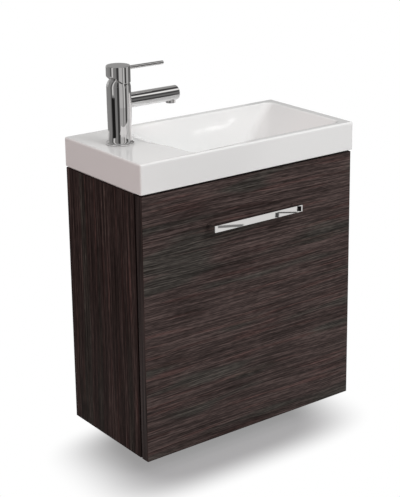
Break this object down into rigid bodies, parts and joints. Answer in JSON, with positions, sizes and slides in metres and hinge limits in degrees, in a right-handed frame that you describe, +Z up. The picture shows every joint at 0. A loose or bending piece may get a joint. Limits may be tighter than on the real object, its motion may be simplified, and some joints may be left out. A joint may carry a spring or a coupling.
{
  "type": "cloakroom vanity unit",
  "caption": "Wall-hung cloakroom vanity unit: a slim ceramic basin with a lever mixer and push waste on a cupboard with a side-hung door and a bow handle.",
  "frame": {"origin": "on the wall, midway between the two wall screw holes in the upper back rail", "axes": "+X to the right as seen from the front, +Y to the wall, +Z up"},
  "size_m": [0.4, 0.22, 0.5745],
  "materials": {
    "carcass_laminate": "wenge laminate, upright grain, satin",
    "door_laminate": "wenge laminate, level grain, satin",
    "beech": "bare beech",
    "glazed_ceramic": "white gloss glaze",
    "chrome": "polished chrome",
    "nickel_steel": "nickel plated",
    "zinc_steel": "bright zinc plated",
    "brass": "plain brass",
    "black_rubber": "matt black rubber",
    "sealant": "grey-white silicone",
    "white_plastic": "moulded white plastic"
  },
  "bodies": {
    "cabinet": {"side_panel_left": "carcass_laminate", "side_panel_right": "carcass_laminate", "bottom_panel": "carcass_laminate", "front_rail": "carcass_laminate", "upper_back_rail": "carcass_laminate", "lower_back_rail": "carcass_laminate", "dowels": "beech", "cam_bolts": "zinc_steel", "cam_discs": "zinc_steel", "lower_hinge_arm": "nickel_steel", "upper_hinge_arm": "nickel_steel", "hinge_adjusting_screws": "zinc_steel", "lower_hinge_plate": "nickel_steel", "upper_hinge_plate": "nickel_steel", "plate_screws": "zinc_steel", "basin": "glazed_ceramic", "sealant_bead": "sealant", "waste_body": "chrome", "waste_top_washer": "black_rubber", "waste_low_washer": "black_rubber", "waste_back_nut": "brass", "tap_body": "chrome", "tap_spout": "chrome", "aerator": "chrome", "foot_seal": "black_rubber", "cartridge": "white_plastic", "cartridge_nut": "chrome", "fixing_stud": "zinc_steel", "clamp_rubber": "black_rubber", "clamp_washer": "zinc_steel", "stud_nut": "brass"},
    "door": {"door_panel": "door_laminate", "door_buffers": "black_rubber", "handle": "chrome", "handle_screws": "zinc_steel", "lower_hinge_cup": "nickel_steel", "upper_hinge_cup": "nickel_steel", "hinge_pins": "nickel_steel", "cup_screws": "zinc_steel"},
    "spindle": {"cartridge_spindle": "white_plastic"},
    "lever": {"lever_stem": "zinc_steel", "lever_cap": "chrome", "lever_pin": "chrome", "lever_grub_screw": "zinc_steel"},
    "plug": {"waste_plug": "chrome"}
  },
  "joints": [
    {"name": "door_hinge", "type": "hinge", "parent": "cabinet", "child": "door", "pos_m": [0.1914, -0.1919, -0.168], "axis": [0, 0, 1], "range_deg": [0, 95]},
    {"name": "lever_swivel", "type": "hinge", "parent": "cabinet", "child": "spindle", "pos_m": [-0.1555, -0.0855, 0.174], "axis": [0, 0, 1], "range_deg": [-45, 45]},
    {"name": "lever_tilt", "type": "hinge", "parent": "spindle", "child": "lever", "pos_m": [-0.1555, -0.0855, 0.174], "axis": [0, -1, 0], "range_deg": [0, 20]},
    {"name": "plug_slide", "type": "slide", "parent": "cabinet", "child": "plug", "axis": [0, 0, 1], "range_m": [0, 0.008]}
  ]
}
